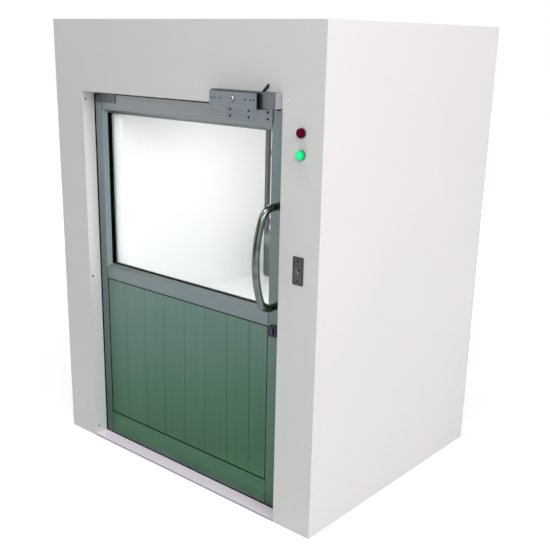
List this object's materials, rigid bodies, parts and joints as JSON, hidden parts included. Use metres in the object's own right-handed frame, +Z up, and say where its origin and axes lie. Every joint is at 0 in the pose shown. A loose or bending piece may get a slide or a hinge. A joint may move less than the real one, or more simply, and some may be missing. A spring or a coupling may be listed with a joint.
{
  "type": "cleanroom pass box",
  "caption": "Floor-standing double-sided transfer chamber in a folded sheet cabinet, with a glazed and slatted swing door, magnetic lock, lamps and release button on each face",
  "frame": {"origin": "centre of the box's footprint, on the floor", "axes": "+Z up, -Y out of the front face, +X to the right as seen from the front"},
  "size_m": [1.16, 1.073, 1.5],
  "materials": {
    "fascia_paint": "satin grey powder coat",
    "side_paint": "satin off-white powder coat",
    "sill_paint": "satin pale powder coat",
    "chamber_sheet": "smooth white coat",
    "diffuser": "opal diffuser in a white housing",
    "door_aluminium": "natural anodised",
    "slat_aluminium": "natural anodised",
    "clear_glass": "clear polished",
    "black_rubber": "matte",
    "pivot_steel": "dull plated",
    "handle_steel": "polished stainless",
    "lock_metal": "dark satin",
    "turn_metal": "satin",
    "bracket_steel": "satin anodised",
    "armature_steel": "ground and plated",
    "bolt_chrome": "polished",
    "magnet_aluminium": "satin anodised",
    "lead_plastic": "matte",
    "red_lens": "glossy translucent, not lit",
    "green_lens": "glossy translucent, lit",
    "plate_steel": "fine brushed",
    "button_steel": "polished"
  },
  "bodies": {
    "cabinet": {"base_pan": "sill_paint", "left_side": "side_paint", "right_side": "side_paint", "top_panel": "side_paint", "chamber_floor": "chamber_sheet", "chamber_left_wall": "chamber_sheet", "chamber_right_wall": "chamber_sheet", "chamber_ceiling": "chamber_sheet", "chamber_light": "diffuser", "front_fascia": "fascia_paint", "front_reveal": "fascia_paint", "front_bulkhead": "chamber_sheet", "front_magnet": "magnet_aluminium", "front_magnet_lead": "lead_plastic", "front_red_lamp": "red_lens", "front_green_lamp": "green_lens", "front_release_plate": "plate_steel", "rear_fascia": "fascia_paint", "rear_reveal": "fascia_paint", "rear_bulkhead": "chamber_sheet", "rear_magnet": "magnet_aluminium", "rear_red_lamp": "red_lens", "rear_green_lamp": "green_lens", "rear_release_plate": "plate_steel"},
    "front_door": {"front_hinge_stile": "door_aluminium", "front_lock_stile": "door_aluminium", "front_top_rail": "door_aluminium", "front_mid_rail": "door_aluminium", "front_bottom_rail": "door_aluminium", "front_glass": "clear_glass", "front_glazing_beads": "door_aluminium", "front_glazing_gasket": "black_rubber", "front_slat_panel": "slat_aluminium", "front_top_pivot": "pivot_steel", "front_bottom_pivot": "pivot_steel", "front_pull_handle": "handle_steel", "front_lock_case": "lock_metal", "front_armature_bracket": "bracket_steel", "front_armature": "armature_steel", "front_armature_bolt": "bolt_chrome"},
    "rear_door": {"rear_hinge_stile": "door_aluminium", "rear_lock_stile": "door_aluminium", "rear_top_rail": "door_aluminium", "rear_mid_rail": "door_aluminium", "rear_bottom_rail": "door_aluminium", "rear_glass": "clear_glass", "rear_glazing_beads": "door_aluminium", "rear_glazing_gasket": "black_rubber", "rear_slat_panel": "slat_aluminium", "rear_top_pivot": "pivot_steel", "rear_bottom_pivot": "pivot_steel", "rear_pull_handle": "handle_steel", "rear_lock_case": "lock_metal", "rear_armature_bracket": "bracket_steel", "rear_armature": "armature_steel", "rear_armature_bolt": "bolt_chrome"},
    "front_lock_turn": {"front_lock_turn": "turn_metal"},
    "rear_lock_turn": {"rear_lock_turn": "turn_metal"},
    "front_button": {"front_release_button": "button_steel"},
    "rear_button": {"rear_release_button": "button_steel"}
  },
  "joints": [
    {"name": "front_door_swing", "type": "hinge", "parent": "cabinet", "child": "front_door", "pos_m": [-0.415, -0.4105, 0], "axis": [0, 0, -1], "range_deg": [0, 95]},
    {"name": "rear_door_swing", "type": "hinge", "parent": "cabinet", "child": "rear_door", "pos_m": [0.415, 0.4105, 0], "axis": [0, 0, -1], "range_deg": [0, 95]},
    {"name": "front_lock_throw", "type": "hinge", "parent": "front_door", "child": "front_lock_turn", "pos_m": [0.384, -0.4225, 0.607], "axis": [0, 1, 0], "range_deg": [0, 90]},
    {"name": "rear_lock_throw", "type": "hinge", "parent": "rear_door", "child": "rear_lock_turn", "pos_m": [-0.384, 0.4225, 0.607], "axis": [0, -1, 0], "range_deg": [0, 90]},
    {"name": "front_button_press", "type": "slide", "parent": "cabinet", "child": "front_button", "axis": [0, 1, 0], "range_m": [0, 0.0025], "stiffness_N_per_m": 400},
    {"name": "rear_button_press", "type": "slide", "parent": "cabinet", "child": "rear_button", "axis": [0, -1, 0], "range_m": [0, 0.0025], "stiffness_N_per_m": 400}
  ]
}
